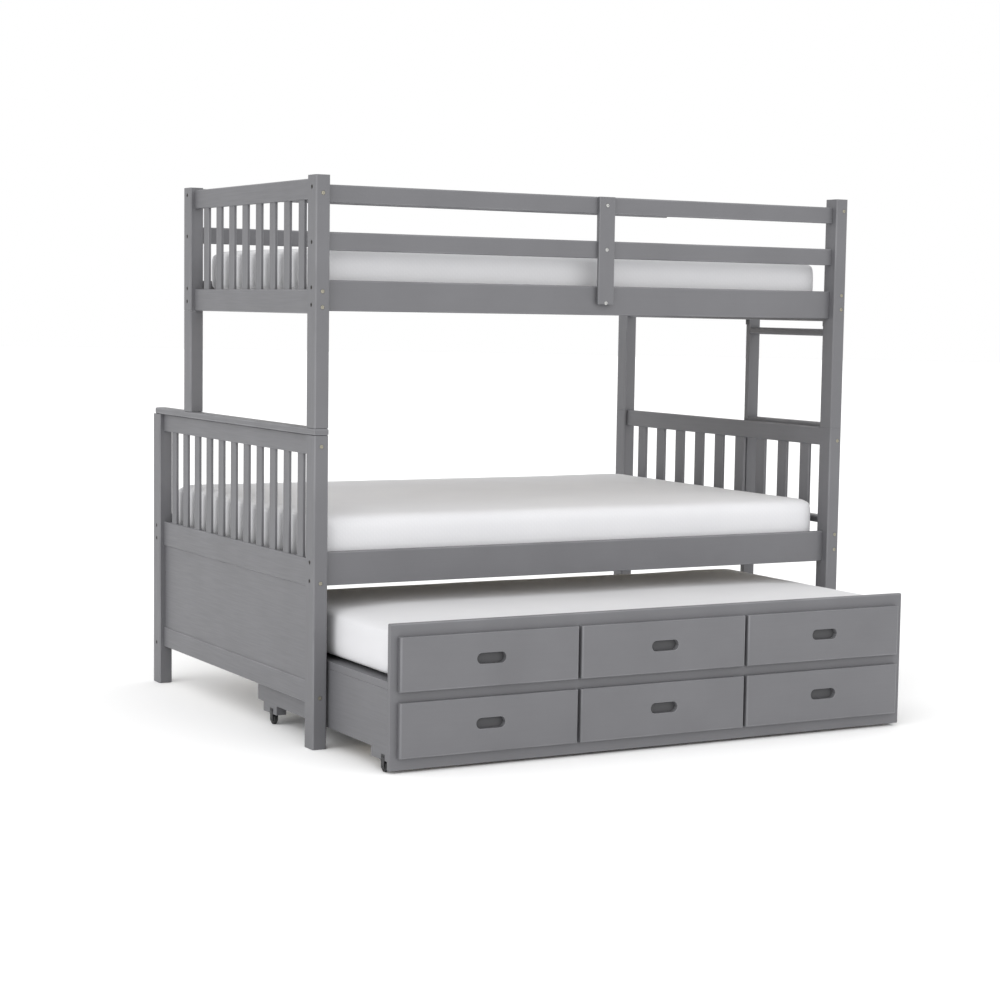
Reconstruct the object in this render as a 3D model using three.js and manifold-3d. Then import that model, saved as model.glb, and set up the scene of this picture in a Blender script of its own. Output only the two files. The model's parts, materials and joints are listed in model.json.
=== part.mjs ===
// Twin-over-full bunk bed of painted wood, with an end ladder and a rolling trundle with drawers.
// Millimetres, +Z up. X runs along the bed to the ladder end, Y from the front to the wall side.
// Everything is laid out from the outer front-left foot and moved to its final origin at the end.

import * as THREE from 'three';
import { mergeVertices } from 'three/addons/utils/BufferGeometryUtils.js';
import Module from 'manifold-3d';

const wasm = await Module();
wasm.setup();

// Driving dimensions
const BED_LENGTH = 2030;
const FULL_WIDTH = 1450;
const TWIN_WIDTH = 1140;
const POST = { x: 48, y: 66, top: 1790, chamfer: 4 };
const FIT = 0.3;

// Boards
const RAIL_THICK = 20;
const RAIL_EDGE = 3;
const END_INSET = 16;
const GUARD_INSET = 24;
const MAIN_INSET = 29;
const SLAT = { width: 44, ladderEndWidth: 58, thick: 11, tongue: 10, ease: 2 };
const CLEAT = { size: 25, lift: 6 };

// Heights of the end frames, bottom and top of each board
const CAP = [988, 1010];
const END_TOP_RAIL = [925, CAP[0]];
const END_MID_RAIL = [508, 596];
const END_BOTTOM_RAIL = [136, 208];
const UPPER_END_TOP_RAIL = [1717, 1781];
const UPPER_END_BOTTOM_RAIL = [1364, 1439];

// Heights of the side boards
const GUARD_TOP_RAIL = [1706, 1762];
const GUARD_MID_RAIL = [1560, 1617];
const REAR_GUARD_TOP_RAIL = [1754, 1788];
const REAR_GUARD_MID_RAIL = [1598, 1655];
const UPPER_SIDE_RAIL = [1373, 1469];
const LOWER_SIDE_RAIL = [514, 621];

// Guard brackets: mid-length at the front, nearer the ladder at the wall side where the rails end free
const BRACKET = { frontX: 1051, rearX: 1710, width: 60, thick: 14, bottom: 1409 };

// Decks and mattresses
const DECK = { slats: 14, slatWidth: 72, thick: 18, strapWidth: 30, strapThick: 2 };
const TWIN_MATTRESS = { length: 1948, width: 990, thick: 152 };
const FULL_MATTRESS = { length: 1948, width: 1345, thick: 172 };
const TRUNDLE_MATTRESS = { length: 1905, width: 990, thick: 162 };
const MATTRESS_CORNER = 48;
const MATTRESS_EDGE = 30;

// Ladder at the right end
const LADDER = {
  x: BED_LENGTH + 1, depth: 49, stileThick: 24, front: 105, rear: 609,
  top: 1440, rungs: 4, firstRung: 306, rungPitch: 335, rungThick: 25,
};

// Trundle, pulled half out from under the bed
const TRUNDLE = {
  x0: 57, x1: BED_LENGTH - 57, front: -455, rear: 585,
  bottom: 8, top: 453, boardTop: 277, boardThick: 23, panel: 18,
};
const SIDE = { bottom: 66, foot: 35, footLength: 110, heel: 50 };
const FACE = { thick: 20, edge: 5, border: 25, gap: 11, lower: [46, 216], upper: [247, 414] };
const PULL = { length: 100, height: 34, lift: 4 };
const DRAWER = { depth: 450, inner: 10, wall: 12, floor: 8, sideClear: 30, z: [80, 206], mouthClear: 3 };
const LEDGE = { width: 24, z: [66, 77] };
const WHEEL = { radius: 16.5, width: 14, hub: 6, frontInset: 26, rearInset: 120 };

// Paints and fabrics
const paint = () => new THREE.MeshStandardMaterial({ color: 0x77797c, roughness: 0.55, metalness: 0 });
const wood = () => new THREE.MeshStandardMaterial({ color: 0xc9a877, roughness: 0.7, metalness: 0 });
const cloth = () => new THREE.MeshStandardMaterial({ color: 0xf2f1ee, roughness: 0.9, metalness: 0 });
const tread = () => new THREE.MeshStandardMaterial({ color: 0x1c1c1e, roughness: 0.6, metalness: 0 });

const model = new THREE.Group();

function piece(name, geometry, material) {
  const mesh = new THREE.Mesh(geometry, material);
  mesh.name = name;
  model.add(mesh);
  return mesh;
}

// ---- solids ----------------------------------------------------------------------------

function outline(points) {
  return new THREE.Shape(points.map(([a, b]) => new THREE.Vector2(a, b)));
}

function chamfered(a0, a1, b0, b1, edge) {
  return outline([
    [a0 + edge, b0], [a1 - edge, b0], [a1, b0 + edge], [a1, b1 - edge],
    [a1 - edge, b1], [a0 + edge, b1], [a0, b1 - edge], [a0, b0 + edge],
  ]);
}

function extrude(shape, depth, options = {}) {
  return new THREE.ExtrudeGeometry(shape, { depth, bevelEnabled: false, curveSegments: 6, ...options });
}

// A section drawn in (Y, Z), run along X
function alongX(shape, x0, x1) {
  const basis = new THREE.Matrix4().makeBasis(
    new THREE.Vector3(0, 1, 0), new THREE.Vector3(0, 0, 1), new THREE.Vector3(1, 0, 0));
  return extrude(shape, x1 - x0).applyMatrix4(basis).translate(x0, 0, 0);
}

// A section drawn in (X, Z), run along Y
function alongY(shape, y0, y1, options) {
  return extrude(shape, y1 - y0, options).rotateX(Math.PI / 2).translate(0, y1, 0);
}

// A section drawn in (X, Y), run along Z
function alongZ(shape, z0, z1, options) {
  return extrude(shape, z1 - z0, options).translate(0, 0, z0);
}

function block(x0, x1, y0, y1, z0, z1) {
  return new THREE.BoxGeometry(x1 - x0, y1 - y0, z1 - z0)
    .translate((x0 + x1) / 2, (y0 + y1) / 2, (z0 + z1) / 2);
}

function toSolid(geometry) {
  const bare = geometry.clone();
  bare.deleteAttribute('normal');
  bare.deleteAttribute('uv');
  const merged = mergeVertices(bare, 1e-4);
  return new wasm.Manifold(new wasm.Mesh({
    numProp: 3,
    vertProperties: new Float32Array(merged.attributes.position.array),
    triVerts: new Uint32Array(merged.index.array),
  }));
}

function fromSolid(solid) {
  const mesh = solid.getMesh();
  const geometry = new THREE.BufferGeometry();
  geometry.setAttribute('position', new THREE.BufferAttribute(new Float32Array(mesh.vertProperties), 3));
  geometry.setIndex(new THREE.BufferAttribute(new Uint32Array(mesh.triVerts), 1));
  geometry.computeVertexNormals();
  return geometry;
}

function join(geometries, cuts = []) {
  let solid = geometries.map(toSolid).reduce((sum, next) => sum.add(next));
  for (const cut of cuts) solid = solid.subtract(toSolid(cut));
  return fromSolid(solid);
}

// ---- posts, rails and slat banks -------------------------------------------------------

function post(name, x0, y0, z0, z1) {
  const section = chamfered(x0, x0 + POST.x, y0, y0 + POST.y, POST.chamfer);
  piece(name, alongZ(section, z0, z1), paint());
}

// Board between two posts of an end frame, grooved where a slat bank or panel enters it
function endRail(name, x0, y0, y1, [z0, z1], { thick = RAIL_THICK, below = 0, above = 0 } = {}) {
  const x1 = x0 + thick;
  const middle = (x0 + x1) / 2;
  const groove = SLAT.tongue + FIT;
  const points = [[x0 + RAIL_EDGE, z0]];
  if (below) points.push([middle - below / 2, z0], [middle - below / 2, z0 + groove],
    [middle + below / 2, z0 + groove], [middle + below / 2, z0]);
  points.push([x1 - RAIL_EDGE, z0], [x1, z0 + RAIL_EDGE], [x1, z1 - RAIL_EDGE], [x1 - RAIL_EDGE, z1]);
  if (above) points.push([middle + above / 2, z1], [middle + above / 2, z1 - groove],
    [middle - above / 2, z1 - groove], [middle - above / 2, z1]);
  points.push([x0 + RAIL_EDGE, z1], [x0, z1 - RAIL_EDGE], [x0, z0 + RAIL_EDGE]);
  piece(name, alongY(outline(points), y0 + FIT, y1 - FIT), paint());
}

// Upright slats of one end, held by two thin tongues that sit inside the rails' grooves
function slatBank(name, x0, y0, y1, z0, z1, count, width = SLAT.width) {
  const bottom = z0 - SLAT.tongue;
  const top = z1 + SLAT.tongue;
  const gap = (y1 - y0 - count * width) / (count + 1);
  const face = x0 + (RAIL_THICK - SLAT.thick) / 2;
  const back = face + SLAT.thick;
  const first = y0 + gap;
  const last = y1 - gap;
  const parts = [
    block(face, back, first, last, bottom, z0 - FIT),
    block(face, back, first, last, z1 + FIT, top),
  ];
  for (let i = 0; i < count; i += 1) {
    const y = first + i * (width + gap);
    parts.push(alongZ(chamfered(face, back, y, y + width, SLAT.ease), bottom + 1, top - 1));
  }
  piece(name, join(parts), paint());
}

// Side rail between the posts; a bed rail also carries a cleat along its inner foot
function sideRail(name, face, inward, [z0, z1], cleat = false, rightEnd = BED_LENGTH - POST.x) {
  const y0 = inward > 0 ? face : face - RAIL_THICK;
  const x0 = POST.x + FIT;
  const x1 = rightEnd - FIT;
  const board = alongX(chamfered(y0, y0 + RAIL_THICK, z0, z1, RAIL_EDGE), x0, x1);
  if (!cleat) {
    piece(name, board, paint());
    return;
  }
  const inner = face + inward * (RAIL_THICK - 1);
  const [c0, c1] = [inner, inner + inward * (CLEAT.size + 1)].sort((a, b) => a - b);
  const foot = z0 + CLEAT.lift;
  piece(name, join([board, block(x0, x1, c0, c1, foot, foot + CLEAT.size)]), paint());
}

function leftLowerEnd() {
  const rear = FULL_WIDTH - POST.y;
  const grooved = SLAT.thick + 2 * FIT;
  post('left_front_lower_post', 0, 0, 0, CAP[0] - FIT);
  post('left_rear_lower_post', 0, rear, 0, CAP[0] - FIT);
  endRail('left_lower_top_rail', END_INSET, POST.y, rear, [END_TOP_RAIL[0], END_TOP_RAIL[1] - FIT],
    { below: grooved });
  slatBank('left_lower_slats', END_INSET, POST.y, rear, END_MID_RAIL[1], END_TOP_RAIL[0], 11);
  endRail('left_lower_mid_rail', END_INSET, POST.y, rear, END_MID_RAIL, { above: grooved, below: grooved });
  const face = END_INSET + (RAIL_THICK - SLAT.thick) / 2;
  piece('left_lower_panel', block(face, face + SLAT.thick, POST.y + FIT, rear - FIT,
    END_BOTTOM_RAIL[1] - SLAT.tongue, END_MID_RAIL[0] + SLAT.tongue), paint());
  endRail('left_lower_bottom_rail', END_INSET, POST.y, rear, END_BOTTOM_RAIL, { above: grooved });
}

// Moulded board over the whole lower end: square at the front, rounded at the wall side
function leftCap() {
  const edge = 5;
  const corner = 22;
  const x1 = POST.x;
  const shape = new THREE.Shape();
  shape.moveTo(edge, edge);
  shape.lineTo(x1 - edge, edge);
  shape.lineTo(x1 - edge, FULL_WIDTH - edge);
  shape.lineTo(edge + corner, FULL_WIDTH - edge);
  shape.absarc(edge + corner, FULL_WIDTH - edge - corner, corner, Math.PI / 2, Math.PI, false);
  shape.lineTo(edge, edge);
  piece('left_end_cap', alongZ(shape, CAP[0] + edge, CAP[1] - edge,
    { bevelEnabled: true, bevelThickness: edge, bevelSize: edge, bevelSegments: 3 }), paint());
}

function leftUpperEnd() {
  const rear = TWIN_WIDTH - POST.y;
  const grooved = SLAT.thick + 2 * FIT;
  post('left_front_upper_post', 0, 0, CAP[1] + FIT, POST.top);
  post('left_rear_leg', 0, rear, CAP[1] + FIT, UPPER_END_BOTTOM_RAIL[0] - FIT);
  post('left_rear_upper_post', 0, rear, UPPER_END_BOTTOM_RAIL[0], POST.top);
  endRail('left_upper_top_rail', END_INSET, POST.y, rear, UPPER_END_TOP_RAIL, { below: grooved });
  slatBank('left_upper_slats', END_INSET, POST.y, rear, UPPER_END_BOTTOM_RAIL[1], UPPER_END_TOP_RAIL[0], 8);
  endRail('left_upper_bottom_rail', END_INSET, POST.y, rear, UPPER_END_BOTTOM_RAIL, { above: grooved });
}

function rightLowerEnd() {
  const x = BED_LENGTH - POST.x;
  const railX = BED_LENGTH - END_INSET - RAIL_THICK;
  const rear = FULL_WIDTH - POST.y;
  const grooved = SLAT.thick + 2 * FIT;
  post('right_front_lower_post', x, 0, 0, CAP[0] - FIT);
  post('right_rear_lower_post', x, rear, 0, CAP[0] - FIT);
  endRail('right_lower_top_rail', railX, POST.y, rear, [END_TOP_RAIL[0], END_TOP_RAIL[1] - FIT],
    { below: grooved });
  slatBank('right_lower_slats', railX, POST.y, rear, END_MID_RAIL[1], END_TOP_RAIL[0], 9,
    SLAT.ladderEndWidth);
  endRail('right_lower_mid_rail', railX, POST.y, rear, END_MID_RAIL, { above: grooved });
}

// The ladder end stands on posts at the full width; a cross rail carries the narrower upper deck
function rightUpperEnd() {
  const x = BED_LENGTH - POST.x;
  const rear = FULL_WIDTH - POST.y;
  post('right_front_upper_post', x, 0, CAP[0], POST.top);
  post('right_rear_upper_post', x, rear, CAP[0], UPPER_END_BOTTOM_RAIL[1]);
  endRail('right_cross_rail', BED_LENGTH - END_INSET - RAIL_THICK, POST.y, rear, UPPER_END_BOTTOM_RAIL);
}

function guardBracket(name, x, face, inward, top) {
  const half = BRACKET.width / 2;
  const near = face - inward * FIT;
  const [y0, y1] = [near - inward * BRACKET.thick, near].sort((a, b) => a - b);
  piece(name, alongZ(chamfered(x - half, x + half, y0, y1, 2), BRACKET.bottom, top), paint());
}

function sideBoards() {
  sideRail('front_guard_top_rail', GUARD_INSET, 1, GUARD_TOP_RAIL);
  sideRail('front_guard_mid_rail', GUARD_INSET, 1, GUARD_MID_RAIL);
  sideRail('front_upper_rail', MAIN_INSET, 1, UPPER_SIDE_RAIL, true);
  sideRail('rear_guard_top_rail', TWIN_WIDTH - GUARD_INSET, -1, REAR_GUARD_TOP_RAIL);
  sideRail('rear_guard_mid_rail', TWIN_WIDTH - GUARD_INSET, -1, REAR_GUARD_MID_RAIL);
  sideRail('rear_upper_rail', TWIN_WIDTH - MAIN_INSET, -1, UPPER_SIDE_RAIL, true,
    BED_LENGTH - END_INSET - RAIL_THICK);
  sideRail('front_lower_rail', MAIN_INSET, 1, LOWER_SIDE_RAIL, true);
  sideRail('rear_lower_rail', FULL_WIDTH - MAIN_INSET, -1, LOWER_SIDE_RAIL, true);
  guardBracket('front_guard_bracket', BRACKET.frontX, GUARD_INSET, 1, GUARD_TOP_RAIL[1]);
  guardBracket('rear_guard_bracket', BRACKET.rearX, TWIN_WIDTH - GUARD_INSET, -1, REAR_GUARD_TOP_RAIL[1]);
}

// ---- decks and mattresses --------------------------------------------------------------

// Loose slats lying on the side cleats, tied into one roll by two straps under them
function slatDeck(name, width, [railFoot]) {
  const z0 = railFoot + CLEAT.lift + CLEAT.size + FIT;
  const y0 = MAIN_INSET + RAIL_THICK + 3;
  const y1 = width - y0;
  const first = POST.x + 30;
  const pitch = (BED_LENGTH - 2 * first - DECK.slatWidth) / (DECK.slats - 1);
  const parts = [];
  for (let i = 0; i < DECK.slats; i += 1) {
    const x = first + i * pitch;
    parts.push(block(x, x + DECK.slatWidth, y0, y1, z0, z0 + DECK.thick));
  }
  const end = BED_LENGTH - first;
  for (const t of [0.25, 0.75]) {
    const y = y0 + t * (y1 - y0) - DECK.strapWidth / 2;
    parts.push(block(first, end, y, y + DECK.strapWidth, z0 - DECK.strapThick, z0 + 1));
  }
  piece(name, join(parts), wood());
  return z0 + DECK.thick;
}

function mattress(name, y0, z0, { length, width, thick }) {
  const edge = MATTRESS_EDGE;
  const corner = MATTRESS_CORNER - edge;
  const x0 = (BED_LENGTH - length) / 2 + edge;
  const x1 = x0 + length - 2 * edge;
  const [a, b] = [y0 + edge, y0 + width - edge];
  const shape = new THREE.Shape();
  shape.moveTo(x0 + corner, a);
  shape.absarc(x1 - corner, a + corner, corner, -Math.PI / 2, 0, false);
  shape.absarc(x1 - corner, b - corner, corner, 0, Math.PI / 2, false);
  shape.absarc(x0 + corner, b - corner, corner, Math.PI / 2, Math.PI, false);
  shape.absarc(x0 + corner, a + corner, corner, Math.PI, Math.PI * 1.5, false);
  piece(name, alongZ(shape, z0 + FIT + edge, z0 + thick - edge, {
    bevelEnabled: true, bevelThickness: edge, bevelSize: edge, bevelSegments: 3, curveSegments: 3,
  }), cloth());
}

function decksAndMattresses() {
  const upper = slatDeck('upper_slat_deck', TWIN_WIDTH, UPPER_SIDE_RAIL);
  const lower = slatDeck('lower_slat_deck', FULL_WIDTH, LOWER_SIDE_RAIL);
  mattress('upper_mattress', (TWIN_WIDTH - TWIN_MATTRESS.width) / 2, upper, TWIN_MATTRESS);
  mattress('lower_mattress', (FULL_WIDTH - FULL_MATTRESS.width) / 2, lower, FULL_MATTRESS);
}

// ---- ladder ----------------------------------------------------------------------------

function ladder() {
  const { x, depth, stileThick, front, rear, top } = LADDER;
  const stile = (name, y) => piece(name,
    alongZ(chamfered(x, x + depth, y, y + stileThick, RAIL_EDGE), 0, top), paint());
  stile('ladder_front_stile', front);
  stile('ladder_rear_stile', rear - stileThick);
  for (let i = 0; i < LADDER.rungs; i += 1) {
    const z = LADDER.firstRung + i * LADDER.rungPitch;
    const section = chamfered(x + 1, x + depth - 1, z, z + LADDER.rungThick, 5);
    piece(`ladder_rung_${i + 1}`,
      alongY(section, front + stileThick + FIT, rear - stileThick - FIT), paint());
  }
}

// ---- trundle ---------------------------------------------------------------------------

const faceWidth = (TRUNDLE.x1 - TRUNDLE.x0 - 2 * FACE.border - 2 * FACE.gap) / 3;
const faceLeft = (i) => TRUNDLE.x0 + FACE.border + i * (faceWidth + FACE.gap);
const frameFront = TRUNDLE.front + FACE.thick;
const frameBack = frameFront + TRUNDLE.panel;
const boardBottom = TRUNDLE.boardTop - TRUNDLE.boardThick;

// Flat front with eased edges and a stadium finger slot cut right through it
function facePanel(i, [z0, z1]) {
  const edge = FACE.edge;
  const [x0, x1] = [faceLeft(i), faceLeft(i) + faceWidth];
  const shape = outline([[x0 + edge, z0 + edge], [x1 - edge, z0 + edge],
    [x1 - edge, z1 - edge], [x0 + edge, z1 - edge]]);
  const radius = PULL.height / 2 + edge;
  const half = PULL.length / 2 - PULL.height / 2;
  const [cx, cz] = [(x0 + x1) / 2, (z0 + z1) / 2 + PULL.lift];
  const slot = new THREE.Path();
  slot.moveTo(cx - half, cz - radius);
  slot.absarc(cx + half, cz, radius, -Math.PI / 2, Math.PI / 2, false);
  slot.absarc(cx - half, cz, radius, Math.PI / 2, Math.PI * 1.5, false);
  shape.holes.push(slot);
  const front = TRUNDLE.front + edge;
  const back = frameFront - FIT;
  const raw = alongY(shape, front, back + edge,
    { bevelEnabled: true, bevelThickness: edge, bevelSize: edge, bevelSegments: 2 });
  return [raw, block(x0 - 1, x1 + 1, back, back + 3 * edge, z0 - 1, z1 + 1)];
}

function drawer(name, i) {
  const [panel, trim] = facePanel(i, FACE.lower);
  const [x0, x1] = [faceLeft(i) + DRAWER.sideClear, faceLeft(i) + faceWidth - DRAWER.sideClear];
  const [z0, z1] = DRAWER.z;
  const y0 = frameFront - 1;
  const y1 = frameFront + DRAWER.depth;
  const wall = DRAWER.wall;
  const front = fromSolid(toSolid(panel).subtract(toSolid(trim)));
  const box = block(x0, x1, y0, y1, z0, z1);
  const cavity = block(x0 + wall, x1 - wall, frameFront + DRAWER.inner, y1 - wall,
    z0 + DRAWER.floor, z1 + 1);
  piece(name, join([front, box], [cavity]), paint());
}

function trundleFronts() {
  const { x0, x1, bottom, top } = TRUNDLE;
  const mouths = [0, 1, 2].map((i) => block(
    faceLeft(i) + DRAWER.sideClear - DRAWER.mouthClear,
    faceLeft(i) + faceWidth - DRAWER.sideClear + DRAWER.mouthClear,
    frameFront - 1, frameBack + 1,
    DRAWER.z[0] - DRAWER.mouthClear, DRAWER.z[1] + DRAWER.mouthClear));
  piece('trundle_front_frame',
    join([alongX(chamfered(frameFront, frameBack, bottom, top, RAIL_EDGE), x0, x1)], mouths), paint());
  ['left', 'middle', 'right'].forEach((side, i) => {
    const [panel, trim] = facePanel(i, FACE.upper);
    piece(`trundle_${side}_false_front`, join([panel], [trim]), paint());
    drawer(`trundle_${side}_drawer`, i);
  });
}

function trundleBody() {
  const { x0, x1, rear, panel } = TRUNDLE;
  const y0 = frameBack + FIT;
  const top = boardBottom - FIT;
  const heel = rear - SIDE.heel;
  const footEnd = y0 + SIDE.footLength;
  const footStart = heel - SIDE.footLength;
  const side = outline([[y0, SIDE.foot], [footEnd, SIDE.foot], [footEnd, SIDE.bottom],
    [footStart, SIDE.bottom], [footStart, SIDE.foot], [heel, SIDE.foot], [heel, SIDE.bottom],
    [rear, SIDE.bottom], [rear, top], [y0, top]]);
  const ledgeEnd = frameBack + DRAWER.depth;
  const build = (name, xa, blockX) => piece(name, join([
    alongX(side, xa, xa + panel),
    block(blockX, blockX + 2 * panel, y0, ledgeEnd, ...LEDGE.z),
    block(blockX, blockX + 2 * panel, y0, footEnd, SIDE.foot, LEDGE.z[0] + 1),
    block(blockX, blockX + 2 * panel, footStart, heel, SIDE.foot, LEDGE.z[1]),
  ]), paint());
  build('trundle_left_side', x0, x0);
  build('trundle_right_side', x1 - panel, x1 - 2 * panel);
  piece('trundle_back', block(x0 + panel + FIT, x1 - panel - FIT, rear - panel, rear,
    LEDGE.z[1] + FIT, top), paint());
  piece('trundle_platform', alongX(
    chamfered(y0, rear, boardBottom, TRUNDLE.boardTop, RAIL_EDGE), x0, x1), paint());
  for (const i of [1, 2]) {
    const x = faceLeft(i) - FACE.gap / 2;
    const [l0, l1] = LEDGE.z;
    const half = panel / 2;
    const reach = DRAWER.sideClear + LEDGE.width;
    piece(`trundle_divider_${i}`, alongY(outline([[x - reach, l0], [x + reach, l0], [x + reach, l1],
      [x + half, l1], [x + half, top], [x - half, top], [x - half, l1], [x - reach, l1],
    ]), y0, rear - panel - FIT), wood());
  }
  mattress('trundle_mattress', frameBack + 6, TRUNDLE.boardTop, TRUNDLE_MATTRESS);
}

// Wheel turned about X: a rounded tread with a small hub boss on each side
function wheels() {
  const { radius, width, hub, frontInset, rearInset } = WHEEL;
  const half = width / 2;
  const ease = 3;
  const boss = half + 1;
  const profile = [[0, -boss], [hub, -boss], [hub, -half], [radius - ease, -half],
    [radius, ease - half], [radius, half - ease], [radius - ease, half], [hub, half], [hub, boss],
    [0, boss]].map(([r, t]) => new THREE.Vector2(r, t));
  const x = { left: TRUNDLE.x0 + TRUNDLE.panel / 2, right: TRUNDLE.x1 - TRUNDLE.panel / 2 };
  const y = { front: frameBack + frontInset, rear: TRUNDLE.rear - rearInset };
  for (const end of ['front', 'rear']) {
    for (const side of ['left', 'right']) {
      const wheel = piece(`${end}_${side}_wheel`, new THREE.LatheGeometry(profile, 32), tread());
      wheel.rotation.z = -Math.PI / 2;
      wheel.position.set(x[side], y[end], radius);
    }
  }
}

leftLowerEnd();
leftCap();
leftUpperEnd();
rightLowerEnd();
rightUpperEnd();
sideBoards();
decksAndMattresses();
ladder();
trundleFronts();
trundleBody();
wheels();

// Origin: middle of the footprint, on the floor
const bounds = new THREE.Box3().setFromObject(model);
const middle = bounds.getCenter(new THREE.Vector3());
model.position.set(-middle.x, -middle.y, -bounds.min.z);
const bunkBed = new THREE.Group();
bunkBed.add(model);

export default bunkBed;
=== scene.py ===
"""Twin-over-full bunk bed of painted softwood, with an end ladder, three mattresses and a rolling trundle.

Laid out as an add-on and run as a script: each operator makes one group of like pieces around the
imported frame, and main() calls them in order. Metres, +Z up, X along the bed towards the ladder.
"""

import json
import math

import bpy
from mathutils import Matrix, Vector, noise


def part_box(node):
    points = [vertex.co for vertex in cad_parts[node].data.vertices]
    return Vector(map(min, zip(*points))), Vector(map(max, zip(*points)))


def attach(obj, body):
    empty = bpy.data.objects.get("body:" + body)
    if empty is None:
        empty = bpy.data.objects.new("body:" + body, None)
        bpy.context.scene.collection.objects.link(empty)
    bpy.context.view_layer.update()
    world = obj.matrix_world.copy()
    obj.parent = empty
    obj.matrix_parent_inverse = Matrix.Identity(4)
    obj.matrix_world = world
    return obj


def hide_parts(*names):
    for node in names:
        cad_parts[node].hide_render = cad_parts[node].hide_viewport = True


bl_info = {
    "name": "Bunk bed with ladder and trundle",
    "version": (1, 0, 0),
    "blender": (4, 5, 0),
    "location": "View3D > Sidebar > Bunk bed",
    "description": "Finishes the boards, fittings and mattresses of a bunk bed around its frame",
    "category": "Object",
}

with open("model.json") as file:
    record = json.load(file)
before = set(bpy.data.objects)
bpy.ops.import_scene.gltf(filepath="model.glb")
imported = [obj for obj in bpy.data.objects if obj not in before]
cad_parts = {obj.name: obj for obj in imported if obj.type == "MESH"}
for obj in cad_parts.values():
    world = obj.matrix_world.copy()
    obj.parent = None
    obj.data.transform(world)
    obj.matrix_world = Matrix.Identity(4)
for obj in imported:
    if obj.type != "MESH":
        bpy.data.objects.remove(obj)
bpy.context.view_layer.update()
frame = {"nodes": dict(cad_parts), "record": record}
MM = 0.001

# Nodes treated in a way of their own, and the words that node names are made from
SOFT_NODES = ("upper_mattress", "lower_mattress", "trundle_mattress")
DECK_NODES = ("upper_slat_deck", "lower_slat_deck")
DRAWERS = ("left", "middle", "right")
WHEELS = ("front_left", "front_right", "rear_left", "rear_right")
UPRIGHT_NODES = ("left_lower_slats", "left_upper_slats", "right_lower_slats")

# Bolts: post, face, the board whose height places them, their shares of that height, share across
BOLT_ROWS = (
    ("left_front_upper_post", "-X", "front_guard_top_rail", (0.84,), 0.5),
    ("left_front_upper_post", "-X", "front_guard_mid_rail", (0.42,), 0.5),
    ("left_front_upper_post", "-X", "front_upper_rail", (0.19, 0.75), 0.5),
    ("left_front_upper_post", "-Y", "left_upper_top_rail", (0.27,), 0.5),
    ("left_front_upper_post", "-Y", "left_upper_bottom_rail", (0.27, 0.92), 0.5),
    ("left_front_lower_post", "-X", "front_lower_rail", (0.16, 0.71), 0.5),
    ("left_front_lower_post", "-Y", "left_lower_top_rail", (0.45,), 0.5),
    ("left_front_lower_post", "-Y", "left_lower_mid_rail", (0.2,), 0.5),
    ("left_front_lower_post", "-Y", "left_lower_bottom_rail", (0.38,), 0.5),
    ("left_rear_upper_post", "-X", "rear_guard_top_rail", (0.3,), 0.5),
    ("left_rear_upper_post", "-X", "rear_guard_mid_rail", (0.42,), 0.5),
    ("left_rear_upper_post", "-X", "rear_upper_rail", (0.24, 0.71), 0.5),
    ("left_rear_upper_post", "+Y", "left_upper_top_rail", (0.5,), 0.5),
    ("left_rear_upper_post", "+Y", "left_upper_bottom_rail", (0.27, 0.75), 0.5),
    ("left_rear_lower_post", "-X", "rear_lower_rail", (0.18, 0.62), 0.5),
    ("left_rear_lower_post", "-X", "left_lower_bottom_rail", (0.16,), 0.5),
    ("left_rear_lower_post", "+Y", "left_lower_top_rail", (0.45,), 0.5),
    ("left_rear_lower_post", "+Y", "left_lower_mid_rail", (0.3,), 0.5),
    ("left_rear_lower_post", "+Y", "left_lower_bottom_rail", (0.4,), 0.5),
    ("right_front_upper_post", "-Y", "front_guard_top_rail", (0.77,), 0.66),
    ("right_front_upper_post", "-Y", "front_upper_rail", (0.34, 0.85), 0.66),
    ("right_front_upper_post", "+X", "front_guard_top_rail", (0.5,), 0.5),
    ("right_front_upper_post", "+X", "front_guard_mid_rail", (0.5,), 0.5),
    ("right_front_upper_post", "+X", "front_upper_rail", (0.2, 0.75), 0.5),
    ("right_front_lower_post", "-Y", "right_lower_top_rail", (0.29,), 0.66),
    ("right_front_lower_post", "-Y", "front_lower_rail", (0.4, 0.9), 0.66),
    ("right_front_lower_post", "+X", "front_lower_rail", (0.2, 0.7), 0.3),
    ("right_rear_upper_post", "+Y", "right_cross_rail", (0.25, 0.75), 0.5),
    ("rear_guard_bracket", "+Y", "rear_guard_top_rail", (0.5,), 0.5),
    ("rear_guard_bracket", "+Y", "rear_guard_mid_rail", (0.5,), 0.5),
    ("rear_guard_bracket", "+Y", "rear_upper_rail", (0.6,), 0.5),
    ("right_rear_lower_post", "+X", "rear_lower_rail", (0.2, 0.7), 0.5),
    ("right_rear_lower_post", "+Y", "right_lower_top_rail", (0.45,), 0.5),
    ("right_rear_lower_post", "+Y", "right_lower_mid_rail", (0.4,), 0.5),
    ("front_guard_bracket", "-Y", "front_guard_top_rail", (0.5,), 0.5),
    ("front_guard_bracket", "-Y", "front_guard_mid_rail", (0.5,), 0.5),
    ("front_guard_bracket", "-Y", "front_upper_rail", (0.42,), 0.5),
)
OUTWARD = {
    "-X": Vector((-1, 0, 0)), "+X": Vector((1, 0, 0)),
    "-Y": Vector((0, -1, 0)), "+Y": Vector((0, 1, 0)),
}
ALONG_X, ALONG_Y, ALONG_Z = Vector((1, 0, 0)), Vector((0, 1, 0)), Vector((0, 0, 1))
SAME_PLACE = 1e-5
SMOOTH_UNDER = math.radians(35)
SENSOR_WIDTH = 36
LIGHT_SPREAD = math.radians(65)
FLOOR_RADIUS = 60
HOOK_COAT = "3A3A3C"


# ---- settings ------------------------------------------------------

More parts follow.
